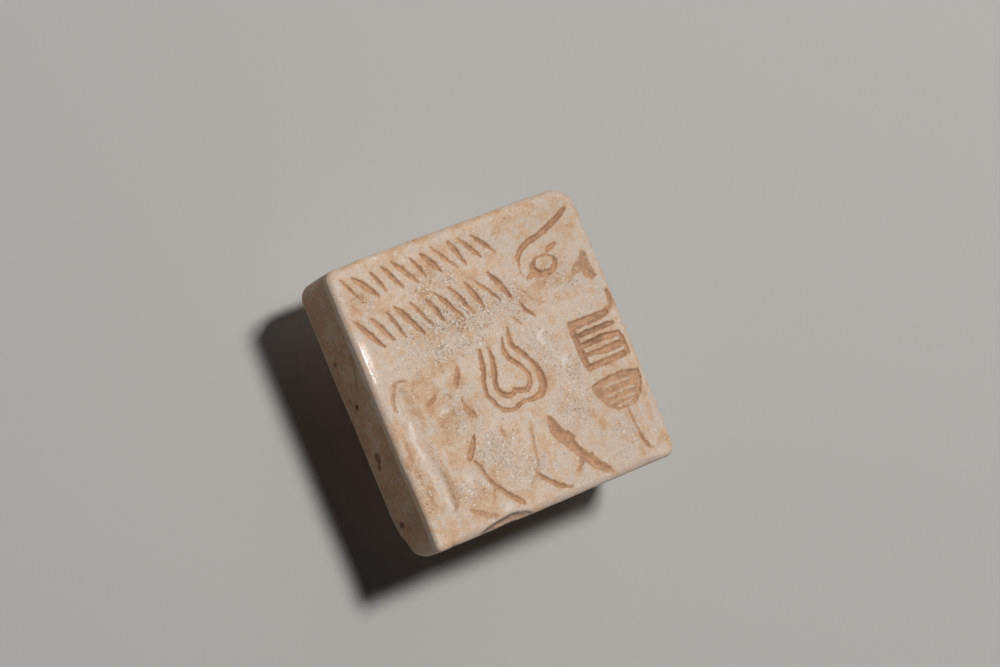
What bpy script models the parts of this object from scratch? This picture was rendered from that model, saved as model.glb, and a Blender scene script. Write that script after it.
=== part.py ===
"""A square stamp seal of pale stone: a plate with a carved face, and a pierced boss on its back.

The seal lies on the flat spot of its boss with the carved face up. The origin is on the ground
under the middle of the plate, +Z is up, +X runs to the right and +Y to the top of the carving.
The carving is intaglio: a one-horned bull at a stand, under two rows of plain strokes.
"""

import math

import bmesh
import bpy
from mathutils import Matrix, Vector

# The plate, in metres
FACE_WIDTH = 0.030
FACE_HEIGHT = 0.030
PLATE_THICKNESS = 0.0070
FACE_RIM_ROUNDING = 0.00055
BACK_RIM_ROUNDING = 0.0011

# How far each upright corner is worn round, from the lower left anticlockwise
CORNER_WEAR_AT_FACE = (0.0009, 0.0017, 0.0028, 0.0014)
CORNER_WEAR_AT_BACK = (0.0034, 0.0024, 0.0030, 0.0022)
CORNER_STEPS = 6

# The boss on the back, a low dome with a flat spot
BOSS_HEIGHT = 0.0065
BOSS_RADIUS = 0.0074
FOOT_RADIUS = 0.0047
BOSS_NECK = 0.0016
NECK_FLARE = 0.0007
BOSS_SIDES = 48
DOME_STEPS = 7
OVERLAP = 0.0012

# The cord hole, drilled from both sides, and the groove across the dome
HOLE_MOUTH_RADIUS = 0.0016
HOLE_WAIST_RADIUS = 0.0011
HOLE_BELOW_PLATE = 0.0026
HOLE_SIDES = 20
GROOVE_HALF_WIDTH = 0.00065

# The carving is laid out on a grid of 30 squares across the face and 30 up it
GRID_SQUARES = 30
SQUARE_X = FACE_WIDTH / GRID_SQUARES
SQUARE_Y = FACE_HEIGHT / GRID_SQUARES
CARVING_DEPTH = 0.00050
STROKE_DEPTH_SHARE = 0.85
STEPS_BETWEEN_POINTS = 3
LIFT = 0.00001

FACE_Z = BOSS_HEIGHT + PLATE_THICKNESS


def clear_scene():
    for thing in list(bpy.data.objects):
        bpy.data.objects.remove(thing, do_unlink=True)


def new_collection(name):
    collection = bpy.data.collections.new(name)
    bpy.context.scene.collection.children.link(collection)
    return collection


def mesh_object(name, mesh, collection):
    thing = bpy.data.objects.new(name, mesh)
    collection.objects.link(thing)
    return thing


def object_from_bmesh(name, bm, collection):
    mesh = bpy.data.meshes.new(name)
    bm.to_mesh(mesh)
    bm.free()
    return mesh_object(name, mesh, collection)


def hide_as_cutter(thing):
    thing.hide_render = True
    thing.display_type = "WIRE"


def fired_stone():
    material = bpy.data.materials.new("fired_stone")
    material.use_nodes = True
    shader = material.node_tree.nodes["Principled BSDF"]
    shader.inputs["Base Color"].default_value = (0.54, 0.43, 0.34, 1.0)
    shader.inputs["Roughness"].default_value = 0.5
    shader.inputs["Metallic"].default_value = 0.0
    return material


def worn_outline(corner_wear):
    """The plate's outline, anticlockwise from the lower left, each corner a quarter round."""
    sides = ((-1, -1), (1, -1), (1, 1), (-1, 1))
    points = []
    for corner, (side_x, side_y) in enumerate(sides):
        wear = corner_wear[corner]
        centre_x = side_x * (FACE_WIDTH / 2 - wear)
        centre_y = side_y * (FACE_HEIGHT / 2 - wear)
        for step in range(CORNER_STEPS + 1):
            angle = math.pi + (corner + step / CORNER_STEPS) * math.pi / 2
            points.append((centre_x + wear * math.cos(angle), centre_y + wear * math.sin(angle)))
    return points


def closed_loop(bm, outline, z):
    """A ring of edges on the outline, filled with one face."""
    ring = [bm.verts.new((x, y, z)) for x, y in outline]
    face = bm.faces.new(ring)
    return list(face.edges)


def make_plate(collection):
    """The plate is lofted from the worn outline of its face to that of its back."""
    bm = bmesh.new()
    face_rim = closed_loop(bm, worn_outline(CORNER_WEAR_AT_FACE), FACE_Z)
    back_rim = closed_loop(bm, worn_outline(CORNER_WEAR_AT_BACK), BOSS_HEIGHT)
    bmesh.ops.bridge_loops(bm, edges=face_rim + back_rim)
    bmesh.ops.recalc_face_normals(bm, faces=bm.faces)
    for rim, rounding in ((face_rim, FACE_RIM_ROUNDING), (back_rim, BACK_RIM_ROUNDING)):
        bmesh.ops.bevel(
            bm, geom=rim, offset=rounding, offset_type="OFFSET", affect="EDGES",
            segments=3, profile=0.5, clamp_overlap=False, material=-1)
    plate = object_from_bmesh("stamp_seal", bm, collection)
    plate.data.materials.append(fired_stone())
    return plate


def dome_height(radius):
    """Height of the boss's skin over the ground at a distance from its middle."""
    if radius <= FOOT_RADIUS:
        return 0.0
    dome = BOSS_HEIGHT - BOSS_NECK
    share = min(1.0, (radius - FOOT_RADIUS) / (BOSS_RADIUS - FOOT_RADIUS))
    return dome * (1.0 - math.sqrt(1.0 - share * share))


def make_boss(collection):
    """A profile down the outer side of the boss, turned round the upright axis."""
    bm = bmesh.new()
    profile = [
        (0.0, BOSS_HEIGHT + OVERLAP),
        (BOSS_RADIUS + NECK_FLARE, BOSS_HEIGHT + OVERLAP),
        (BOSS_RADIUS + NECK_FLARE, BOSS_HEIGHT),
        (BOSS_RADIUS, BOSS_HEIGHT - NECK_FLARE),
    ]
    for step in range(DOME_STEPS + 1):
        share = math.cos(step / DOME_STEPS * math.pi / 2)
        radius = FOOT_RADIUS + (BOSS_RADIUS - FOOT_RADIUS) * share
        profile.append((radius, dome_height(radius)))
    profile.append((0.0, 0.0))
    corners = [bm.verts.new((x, 0.0, z)) for x, z in profile]
    for upper, lower in zip(corners, corners[1:]):
        bm.edges.new((upper, lower))
    boss = object_from_bmesh("boss", bm, collection)
    screw = boss.modifiers.new("turn", "SCREW")
    screw.steps = BOSS_SIDES
    screw.render_steps = BOSS_SIDES
    screw.use_merge_vertices = True
    screw.merge_threshold = 0.00001
    hide_as_cutter(boss)
    return boss


def smooth_path(points):
    """A smooth line through the points, each given as x, y and half width in squares."""
    if len(points) == 2:
        first, last = points
        middle = tuple((a + b) / 2 for a, b in zip(first, last))
        return [first, middle, last]
    padded = [points[0]] + list(points) + [points[-1]]
    path = []
    for before, start, end, after in zip(padded, padded[1:], padded[2:], padded[3:]):
        for step in range(STEPS_BETWEEN_POINTS):
            t = step / STEPS_BETWEEN_POINTS
            path.append(tuple(
                0.5 * (2 * s + (e - b) * t + (2 * b - 5 * s + 4 * e - a) * t * t
                       + (3 * s - b - 3 * e + a) * t * t * t)
                for b, s, e, a in zip(before, start, end, after)))
    path.append(tuple(points[-1]))
    return path


def on_face(x, y):
    """A place on the carving's grid, in metres from the middle of the face."""
    return (x * SQUARE_X - FACE_WIDTH / 2, y * SQUARE_Y - FACE_HEIGHT / 2)


def tube_cutter(name, paths, collection, cyclic=False):
    """Round gravers' cuts: each path is a list of centres and radii in metres."""
    curve = bpy.data.curves.new(name, "CURVE")
    curve.dimensions = "3D"
    curve.twist_mode = "Z_UP"
    curve.bevel_depth = 1.0
    curve.bevel_resolution = 2
    curve.use_fill_caps = True
    for path in paths:
        spline = curve.splines.new("POLY")
        spline.points.add(len(path) - 1)
        spline.use_cyclic_u = cyclic
        for point, (centre, radius) in zip(spline.points, path):
            point.co = (*centre, 1.0)
            point.radius = radius
    curve_to_cutter(name, mesh_object(name + "_path", curve, collection), collection)


def curve_to_cutter(name, guide, collection):
    """Turns a curve object into a closed cutter mesh in the same place."""
    bpy.context.view_layer.update()
    evaluated = guide.evaluated_get(bpy.context.evaluated_depsgraph_get())
    mesh = bpy.data.meshes.new_from_object(evaluated)
    bm = bmesh.new()
    bm.from_mesh(mesh)
    bmesh.ops.remove_doubles(bm, verts=bm.verts, dist=1e-7)
    bmesh.ops.recalc_face_normals(bm, faces=bm.faces)
    bm.to_mesh(mesh)
    bm.free()
    cutter = mesh_object(name, mesh, collection)
    cutter.matrix_world = guide.matrix_world.copy()
    bpy.data.objects.remove(guide, do_unlink=True)
    hide_as_cutter(cutter)


def cut_section(half_width, depth):
    """Radius of a round cut of this half width and depth, and its centre's height."""
    radius = (half_width ** 2 + depth ** 2) / (2 * depth)
    return radius, FACE_Z + radius - depth + LIFT


def stroke_path(points, deepest=CARVING_DEPTH):
    square = min(SQUARE_X, SQUARE_Y)
    path = []
    for x, y, half_width in smooth_path(points):
        width = half_width * square
        radius, z = cut_section(width, min(deepest, width * STROKE_DEPTH_SHARE))
        path.append(((*on_face(x, y), z), radius))
    return path


def carve(name, collection, *strokes, deepest=CARVING_DEPTH):
    """One cutter of separate strokes, which must not touch each other."""
    tube_cutter(name, [stroke_path(points, deepest) for points in strokes], collection)


def carve_ring(name, collection, centre, radius_x, radius_y, half_width, count):
    """An oval line that closes on itself."""
    width = half_width * min(SQUARE_X, SQUARE_Y)
    radius, z = cut_section(width, min(CARVING_DEPTH, width * STROKE_DEPTH_SHARE))
    path = []
    for index in range(count):
        turn = 2 * math.pi * index / count
        x, y = on_face(centre[0] + radius_x * math.cos(turn), centre[1] + radius_y * math.sin(turn))
        path.append(((x, y, z), radius))
    tube_cutter(name, [path], collection, cyclic=True)


def carve_floor(name, collection, outline, depth):
    """A flat-floored hollow with this outline, given in squares."""
    curve = bpy.data.curves.new(name, "CURVE")
    curve.dimensions = "2D"
    curve.fill_mode = "BOTH"
    curve.extrude = depth
    spline = curve.splines.new("POLY")
    spline.points.add(len(outline) - 1)
    spline.use_cyclic_u = True
    for point, (x, y) in zip(spline.points, outline):
        point.co = (*on_face(x, y), 0.0, 1.0)
    guide = mesh_object(name + "_outline", curve, collection)
    guide.location.z = FACE_Z
    curve_to_cutter(name, guide, collection)


def carve_head(collection):
    """Horn, eye, ear, muzzle and throat of the bull, which looks to the right."""
    carve("horn", collection,
          [(20.9, 24.0, 0.16), (22.2, 25.2, 0.26), (25.4, 26.25, 0.30), (28.6, 27.9, 0.16)])
    carve_ring("eye", collection, (23.7, 22.9), 1.35, 0.92, 0.30, 18)
    carve("eye_corner", collection, [(22.3, 22.4, 0.36), (21.5, 22.4, 0.14)])
    carve("ear", collection, [(24.4, 24.1, 0.10), (25.1, 24.4, 0.28), (25.9, 24.7, 0.08)])
    carve("nose", collection, [(27.9, 22.6, 0.36), (28.15, 21.6, 0.62), (28.3, 20.5, 0.40)])
    carve("mouth", collection, [(26.4, 21.15, 0.16), (27.9, 21.6, 0.44)])
    carve("jaw", collection, [(20.0, 21.2, 0.12), (20.8, 20.3, 0.18), (22.3, 19.6, 0.10)])
    carve("throat", collection, [(19.2, 20.2, 0.12), (19.6, 19.1, 0.24), (20.4, 18.4, 0.10)])


def collar_line(gap, half_width):
    """A heart-shaped line, open at the top, drawn in by a gap from the outermost line."""
    middle_x, middle_y, lowest = 15.2, 13.1, -2.6
    left = ((2.3, 4.0), (2.75, 2.3), (3.25, 0.2), (2.9, -1.7), (1.5, lowest))
    right = ((1.7, 5.0), (1.25, 3.6), (2.1, 2.2), (3.2, -0.4), (2.75, -2.2), (1.5, lowest))

    def drawn_in(side, x, y):
        lowness = min(1.0, max(0.0, y / lowest))
        inwards = gap * (1.0 - 0.6 * lowness)
        return (middle_x + side * (x - inwards), middle_y + y + gap * lowness, half_width)

    notch = (middle_x, middle_y + lowest + 0.35 + gap, half_width)
    return ([drawn_in(-1, x, y) for x, y in left] + [notch]
            + [drawn_in(1, x, y) for x, y in reversed(right)])


def carve_body(collection):
    """Collar, flank, belly, rump and tail, which lie in shallow strokes."""
    carve("collar_outer", collection, collar_line(0.0, 0.24))
    carve("collar_inner", collection, collar_line(1.05, 0.22))
    carve("flank", collection,
          [(9.8, 16.3, 0.12), (9.3, 15.6, 0.32), (9.0, 14.5, 0.12)],
          [(9.2, 13.6, 0.12), (9.1, 12.5, 0.26), (9.4, 11.4, 0.12)],
          [(5.1, 13.9, 0.10), (6.4, 14.5, 0.22)],
          [(8.8, 9.6, 0.14), (8.0, 8.6, 0.34), (7.1, 7.5, 0.20)])
    carve("rump", collection,
          [(7.0, 16.9, 0.20), (5.2, 16.8, 0.70), (3.6, 15.6, 0.80), (3.2, 12.0, 0.90),
           (3.2, 7.0, 0.80), (3.6, 4.4, 0.60), (4.0, 2.8, 0.24)], deepest=0.00030)
    carve("tail", collection,
          [(3.0, 17.1, 0.12), (2.2, 16.7, 0.22), (1.6, 15.0, 0.22), (1.35, 11.0, 0.20),
           (1.3, 8.0, 0.20), (1.5, 5.0, 0.34), (1.7, 3.8, 0.16)])


def carve_legs(collection):
    """Four legs, each ending in a forked foot near the lower edge."""
    carve("hind_leg", collection,
          [(7.5, 7.1, 0.16), (8.1, 5.4, 0.22), (9.4, 3.1, 0.28), (11.0, 1.5, 0.34)])
    carve("hind_toe", collection, [(8.7, 4.0, 0.16), (8.0, 2.8, 0.12)])
    carve("far_hind_foot", collection, [(5.2, 2.8, 0.14), (6.4, 2.0, 0.28), (7.7, 1.2, 0.14)])
    carve("far_fore_leg", collection,
          [(15.2, 8.5, 0.10), (14.7, 6.5, 0.18), (13.7, 3.4, 0.24), (15.1, 1.9, 0.26),
           (16.8, 1.05, 0.20)])
    carve("far_fore_toe", collection, [(13.5, 3.3, 0.20), (12.6, 2.6, 0.12)])
    carve("fore_leg", collection,
          [(17.35, 8.1, 0.30), (17.6, 6.8, 0.52), (18.6, 5.2, 0.56), (19.6, 3.3, 0.42),
           (20.8, 2.0, 0.44), (21.7, 1.1, 0.26)])
    carve("fore_toe", collection, [(19.2, 3.8, 0.24), (18.1, 2.2, 0.16)])


def carve_stand(collection):
    """The stand before the bull: a barred box over a ribbed bowl on a thin shaft."""
    box_left, box_right = 23.7, 28.9
    bar_heights = (16.25, 14.95, 13.85, 12.55, 11.45)
    for index, height in enumerate(bar_heights):
        carve(f"stand_bar_{index + 1}", collection,
              [(box_left, height, 0.33), (box_right, height, 0.33)])
    carve("stand_left", collection, [(box_left, 16.3, 0.34), (box_left, 11.4, 0.34)])
    carve("stand_right", collection, [(box_right, 14.0, 0.24), (box_right, 11.4, 0.24)])
    carve("stand_hook", collection, [(29.0, 16.3, 0.16), (29.4, 17.1, 0.24), (29.5, 18.2, 0.16)])

    bowl_middle, bowl_half_width, bowl_top, bowl_drop, bowl_foot = 26.35, 3.0, 9.7, 3.6, 6.35
    bowl_arch, bowl_steps, bowl_floor, rib_half_width = 0.4, 8, 0.00016, 0.38

    def bowl_reach(height):
        return bowl_half_width * math.sqrt(1 - ((bowl_top - height) / bowl_drop) ** 2)

    sides = [bowl_foot + (bowl_top - bowl_foot) * math.sin(math.pi / 2 * step / bowl_steps)
             for step in range(bowl_steps + 1)]
    outline = [(bowl_middle + bowl_reach(height), height) for height in sides]
    for step in range(1, bowl_steps):
        turn = math.pi * step / bowl_steps
        outline.append((bowl_middle + bowl_half_width * math.cos(turn),
                        bowl_top + bowl_arch * math.sin(turn)))
    outline += [(bowl_middle - bowl_reach(height), height) for height in reversed(sides)]
    carve_floor("bowl", collection, outline, bowl_floor)
    rib_heights = (9.55, 8.60, 7.80, 7.10)
    for index, height in enumerate(rib_heights):
        reach = bowl_reach(height) - rib_half_width / 2
        carve(f"bowl_rib_{index + 1}", collection,
              [(bowl_middle - reach, height, rib_half_width),
               (bowl_middle + reach, height, rib_half_width)])
    carve("shaft", collection,
          [(26.25, 6.4, 0.18), (26.35, 4.0, 0.22), (26.4, 2.4, 0.22), (27.1, 1.7, 0.14)])


def carve_stroke_rows(collection):
    """Two rows of plain shallow strokes over the bull, all leaning one way and set apart."""
    rows = (("upper_strokes", 27.1, 1.45, 0.0), ("lower_strokes", 22.5, 1.75, 1.0))
    count, first_x, spacing, depth = 11, 2.2, 1.58, 0.00025
    for name, middle_y, half_length, shift in rows:
        strokes = []
        for index in range(count):
            middle_x = first_x + spacing * index
            lean = 0.75 + 0.30 * math.sin(2.1 * index + shift)
            reach = half_length * (0.88 + 0.12 * math.cos(1.7 * index + shift))
            width = 0.20 + 0.14 * math.sin(1.3 * index + shift) ** 2
            strokes.append([
                (middle_x - lean, middle_y + reach, 0.5 * width),
                (middle_x, middle_y, width),
                (middle_x + lean, middle_y - reach, 0.5 * width)])
        carve(name, collection, *strokes, deepest=depth)


def chip(name, collection, centre, radii):
    """A flake broken from the rim: a faceted hollow, given in squares and metres of depth."""
    bm = bmesh.new()
    bmesh.ops.create_icosphere(bm, subdivisions=2, radius=1.0)
    x, y = on_face(centre[0], centre[1])
    size = Matrix.Diagonal(Vector((radii[0] * SQUARE_X, radii[1] * SQUARE_Y, radii[2], 1.0)))
    place = Matrix.Translation((x, y, FACE_Z + centre[2]))
    bmesh.ops.transform(bm, matrix=place @ size, verts=bm.verts)
    hide_as_cutter(object_from_bmesh(name, bm, collection))


def chip_rim(collection):
    chip("lower_rim_chip", collection, (9.0, -0.55, 0.0002), (4.2, 1.6, 0.0024))
    chip("right_rim_nick", collection, (30.3, 4.9, 0.0001), (0.7, 0.9, 0.0008))


def drill_cord_hole(collection):
    """Two short cones, drilled from either side, which meet in the middle of the boss."""
    length = BOSS_RADIUS + NECK_FLARE + OVERLAP
    for name, turn in (("hole_from_right", math.pi / 2), ("hole_from_left", -math.pi / 2)):
        bm = bmesh.new()
        bmesh.ops.create_cone(
            bm, cap_ends=True, segments=HOLE_SIDES, radius1=HOLE_WAIST_RADIUS,
            radius2=HOLE_MOUTH_RADIUS, depth=length + OVERLAP)
        outwards = Matrix.Translation((0.0, 0.0, (length - OVERLAP) / 2))
        turned = Matrix.Rotation(turn, 4, "Y")
        place = Matrix.Translation((0.0, 0.0, BOSS_HEIGHT - HOLE_BELOW_PLATE))
        bmesh.ops.transform(bm, matrix=place @ turned @ outwards, verts=bm.verts)
        hide_as_cutter(object_from_bmesh(name, bm, collection))


def cut_groove(collection):
    """A round groove over the dome, which fades out towards the plate."""
    path = []
    steps = 2 * DOME_STEPS
    for step in range(steps + 1):
        turn = math.pi * step / steps
        y = -BOSS_RADIUS * math.cos(turn)
        radius = GROOVE_HALF_WIDTH * (0.4 + 0.6 * math.sin(turn))
        path.append(((0.0, y, dome_height(abs(y)) - LIFT), radius))
    tube_cutter("groove", [path], collection)


def build():
    clear_scene()
    parts = new_collection("stamp_seal")
    additions = new_collection("additions")
    cutters = new_collection("cutters")

    plate = make_plate(parts)
    boss = make_boss(additions)
    carve_head(cutters)
    carve_body(cutters)
    carve_legs(cutters)
    carve_stand(cutters)
    carve_stroke_rows(cutters)
    chip_rim(cutters)
    drill_cord_hole(cutters)
    cut_groove(cutters)

    join = plate.modifiers.new("join_boss", "BOOLEAN")
    join.operation = "UNION"
    join.solver = "EXACT"
    join.object = boss
    cut = plate.modifiers.new("carve", "BOOLEAN")
    cut.operation = "DIFFERENCE"
    cut.solver = "EXACT"
    cut.operand_type = "COLLECTION"
    cut.collection = cutters


build()
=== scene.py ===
"""A square stamp seal of pale stone: a carved plate on a low pierced boss, lying with its face up.

The seal is shaped in millimetres, in the order that it is made: the blank plate, the boss with its
cord hole, the carving, the wear. It is scaled to metres when it is finished.
"""

import itertools
import math

import bmesh
import bpy
import numpy as np
from mathutils import Matrix, Vector


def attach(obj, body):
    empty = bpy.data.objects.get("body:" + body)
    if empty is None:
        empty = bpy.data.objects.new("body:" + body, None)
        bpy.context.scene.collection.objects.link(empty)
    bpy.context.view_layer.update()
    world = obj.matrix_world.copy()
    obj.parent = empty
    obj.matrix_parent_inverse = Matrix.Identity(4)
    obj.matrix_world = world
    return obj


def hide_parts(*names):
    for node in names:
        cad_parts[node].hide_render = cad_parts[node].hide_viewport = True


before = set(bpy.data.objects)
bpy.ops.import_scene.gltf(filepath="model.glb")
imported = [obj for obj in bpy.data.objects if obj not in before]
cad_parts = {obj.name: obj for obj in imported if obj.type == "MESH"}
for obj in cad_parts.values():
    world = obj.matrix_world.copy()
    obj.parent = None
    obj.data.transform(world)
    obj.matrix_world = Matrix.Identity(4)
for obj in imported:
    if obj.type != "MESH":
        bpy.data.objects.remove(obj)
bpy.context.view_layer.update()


# The blank plate. Soft pale stone is sawn to a square tile and rubbed down by hand, so its four
# walls are a little uneven. It starts as a box of small squares that crowd together at the rims.

face_side = 30.0
plate_thickness = 7.0
boss_height = 6.5
face_level = boss_height + plate_thickness
half_side = face_side / 2
squares_across = 75
squares_deep = 20
rim_rows = np.array([0.0, 0.16, 0.34, 0.54, 0.78, 1.08, 1.44])


def read_points(bm):
    return np.array([vert.co for vert in bm.verts])


def write_points(bm, points):
    for vert, point in zip(bm.verts, points):
        vert.co = point


def ease(share):
    """Zero below 0, one above 1, and a smooth rise between."""
    share = np.clip(share, 0.0, 1.0)
    return share * share * (3.0 - 2.0 * share)


def uneven(points, cell, seed):
    """Smooth random values between -1 and 1 at the points, which change over one cell's length."""
    table = np.random.default_rng(seed).uniform(-1.0, 1.0, (32, 32, 32))
    place = np.asarray(points) / cell + 500.0
    low = np.floor(place).astype(int)
    along = ease(place - low)
    value = np.zeros(len(place))
    for corner in itertools.product((0, 1), repeat=3):
        weight = np.prod(np.where(corner, along, 1.0 - along), axis=1)
        value += weight * table[tuple(((low + corner) % 32).T)]
    return value


def wear_depth(points, *waves):
    """Uneven wear in millimetres: the sum of its waves, each with its length, depth and seed."""
    return sum(depth * (0.5 + 0.5 * uneven(points, cell, seed)) for cell, depth, seed in waves)


def crowd_rows(places, low, high, count):
    """Moves evenly spaced rows so that they lie closer together along both edges."""
    inner = np.linspace(low + rim_rows[-1], high - rim_rows[-1], count + 3 - 2 * len(rim_rows))
    rows = np.concatenate([low + rim_rows[:-1], inner, high - rim_rows[-2::-1]])
    return np.interp(places, np.linspace(low, high, count + 1), rows)


plate = bmesh.new()
bmesh.ops.create_cube(plate, size=1.0)
bmesh.ops.scale(plate, vec=(face_side, face_side, plate_thickness), verts=plate.verts)
bmesh.ops.translate(plate, vec=(0.0, 0.0, boss_height + plate_thickness / 2), verts=plate.verts)
for axis, pieces in ((0, squares_across), (1, squares_across), (2, squares_deep)):
    along = [e for e in plate.edges if abs(e.verts[0].co[axis] - e.verts[1].co[axis]) > 1.0]
    bmesh.ops.subdivide_edges(plate, edges=along, cuts=pieces - 1, use_grid_fill=True)

spots = read_points(plate)
spots[:, 0] = crowd_rows(spots[:, 0], -half_side, half_side, squares_across)
spots[:, 1] = crowd_rows(spots[:, 1], -half_side, half_side, squares_across)
spots[:, 2] = crowd_rows(spots[:, 2], boss_height, face_level, squares_deep)
write_points(plate, spots)

shown = set()
for face in plate.faces:
    middle = face.calc_center_median()
    if middle.z > face_level - 1.2 or middle.x < 0.001 - half_side:
        shown.update(face.edges)
bmesh.ops.subdivide_edges(plate, edges=list(shown), cuts=1, use_grid_fill=True)


# The plate's corners and rims. Handling has worn each upright corner round, more so at the back,
# and has softened the rims. The right wall leans in towards its lower end.

corner_wear_at_face = np.array([[0.65, 1.15], [1.2, 2.45]])
corner_wear_at_back = np.array([[3.0, 2.4], [1.8, 3.0]])
right_wall_places = [0.0, 1.0, 2.3, 4.0, 5.2, 23.5, 25.4, 26.6, 28.0, 30.0]
right_wall_wear = [0.38, 0.28, 0.16, 0.03, 0.07, 0.00, 0.12, 0.02, 0.10, 0.12]
left_wall_places = [0.0, 2.0, 3.6, 5.0, 6.4, 8.0, 9.6, 11.5, 30.0]
left_wall_wear = [0.00, 0.10, 0.16, 0.14, 0.16, 0.10, 0.04, 0.05, 0.02]
top_wall_places = [0.0, 2.0, 4.0, 9.0, 25.0, 26.5, 28.0, 30.0]
top_wall_wear = [0.10, 0.16, 0.04, 0.02, 0.02, 0.10, 0.05, 0.05]
bottom_wall_places = [0.0, 1.6, 2.0, 2.5, 5.0, 13.0, 30.0]
bottom_wall_wear = [0.05, 0.05, 0.20, 0.06, 0.04, 0.02, 0.02]
wall_start = 10.5
wall_blend = 4.0


def wear_to_outline(points):
    """Rounds the four upright corners and both rims of the box."""
    x, y, z = points.T.copy()
    depth = face_level - z
    side_x = np.where(x < 0.0, -1.0, 1.0)
    side_y = np.where(y < 0.0, -1.0, 1.0)
    pick = ((side_y > 0).astype(int), (side_x > 0).astype(int))
    share = (depth / plate_thickness) ** 2.2
    wear = corner_wear_at_face[pick] * (1.0 - share) + corner_wear_at_back[pick] * share

    across = np.maximum(0.0, np.abs(x) - (half_side - wear)) / wear
    up = np.maximum(0.0, np.abs(y) - (half_side - wear)) / wear
    reach = np.maximum(np.hypot(across, up), 1e-9)
    longest = np.maximum(across, up)
    in_corner = (across > 0.0) & (up > 0.0)
    squeeze = np.where(in_corner, longest / reach, 1.0)
    outward_x = np.where(in_corner, side_x * across / reach, 0.0)
    outward_y = np.where(in_corner, side_y * up / reach, 0.0)
    nearer_x = np.abs(x) > np.abs(y)
    outward_x = np.where(~in_corner & nearer_x, side_x, outward_x)
    outward_y = np.where(~in_corner & ~nearer_x, side_y, outward_y)
    inset = np.where(in_corner, wear * (1.0 - longest),
                     half_side - np.maximum(np.abs(x), np.abs(y)))
    x = np.where(in_corner, side_x * (half_side - wear + wear * across * squeeze), x)
    y = np.where(in_corner, side_y * (half_side - wear + wear * up * squeeze), y)

    slow = uneven(np.stack([x, y, z * 0.0], axis=1), 5.0, 11)
    right_side = ease((x - 10.5) / 3.0)
    on_face = 0.85 + 0.20 * slow - 0.30 * right_side
    on_wall = 0.50 + 0.12 * slow - 0.15 * right_side
    low_end = ease((-9.5 - y) / 4.0)
    back_wide = 0.40 + 0.10 * slow + 0.8 * low_end
    back_tall = 0.36 + 0.08 * slow + 0.7 * low_end
    for depth_here, turned, wide, tall in (
            (depth, 1.0, on_face, on_wall),
            (plate_thickness - depth, -1.0, back_wide, back_tall)):
        flat = depth_here < 1e-4
        lean = np.where(flat, np.clip(1.0 - inset / wide, 0.0, 1.0), 1.0)
        drop = np.where(flat, 1.0, np.clip(1.0 - depth_here / tall, 0.0, 1.0))
        length = np.hypot(lean, drop)
        near = np.where(flat, inset < wide, depth_here < tall)
        shift_in = np.where(near, wide * (1.0 - lean / length) - np.where(flat, inset, 0.0), 0.0)
        new_depth = np.where(near, tall * (1.0 - drop / length), depth_here)
        x -= outward_x * shift_in
        y -= outward_y * shift_in
        z -= turned * (new_depth - depth_here)
    return np.stack([x, y, z], axis=1)


def wear_walls(points):
    """Leans and waves the four walls inwards, as rubbing by hand has left them."""
    x, y, z = points.T.copy()
    across, up = x + half_side, y + half_side
    wave = wear_depth(points, (4.5, 0.10, 21), (1.3, 0.04, 22))
    near_right = ease((x - wall_start) / wall_blend)
    near_left = ease((-x - wall_start) / wall_blend)
    near_top = ease((y - wall_start) / wall_blend)
    near_bottom = ease((-y - wall_start) / wall_blend)
    x -= near_right * (np.interp(up, right_wall_places, right_wall_wear) + 0.3 * wave)
    to_face = np.clip((z - boss_height) / plate_thickness, 0.0, 1.0)
    left_wear = np.interp(up, left_wall_places, left_wall_wear)
    x += near_left * (left_wear + wave) * (0.3 + 0.7 * to_face)
    y -= near_top * (np.interp(across, top_wall_places, top_wall_wear) + wave)
    y += near_bottom * (np.interp(across, bottom_wall_places, bottom_wall_wear) + wave)
    return np.stack([x, y, z], axis=1)


write_points(plate, wear_walls(wear_to_outline(read_points(plate))))
bmesh.ops.recalc_face_normals(plate, faces=plate.faces)


# The boss. A low dome is left standing on the back and rubbed flat underneath, where the seal
# rests. It is cut from the same block, so it is turned as a solid and joined to the plate.

boss_radius = 7.4
foot_radius = 4.7
boss_neck = 1.6
neck_flare = 0.7
boss_overlap = 1.2
boss_grain = 0.26


def dome_height(radius):
    """Height of the dome's skin over the ground at a distance from its middle."""
    share = np.clip((radius - foot_radius) / (boss_radius - foot_radius), 0.0, 1.0)
    return (boss_height - boss_neck) * (1.0 - math.sqrt(1.0 - share * share))


def object_of(name, bm):
    mesh = bpy.data.meshes.new(name)
    bm.to_mesh(mesh)
    bm.free()
    thing = bpy.data.objects.new(name, mesh)
    bpy.context.scene.collection.objects.link(thing)
    return thing


def bmesh_of(thing, *helpers):
    """The object's mesh with its modifiers taken, after which it and its helpers are dropped."""
    bpy.context.view_layer.update()
    evaluated = thing.evaluated_get(bpy.context.evaluated_depsgraph_get())
    taken = bpy.data.meshes.new_from_object(evaluated)
    bm = bmesh.new()
    bm.from_mesh(taken)
    bpy.data.meshes.remove(taken)
    for used in (thing, *helpers):
        bpy.data.objects.remove(used, do_unlink=True)
    return bm


def combine(thing, other, operation):
    modifier = thing.modifiers.new(operation.lower(), "BOOLEAN")
    modifier.operation = operation
    modifier.solver = "EXACT"
    modifier.object = other


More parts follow.
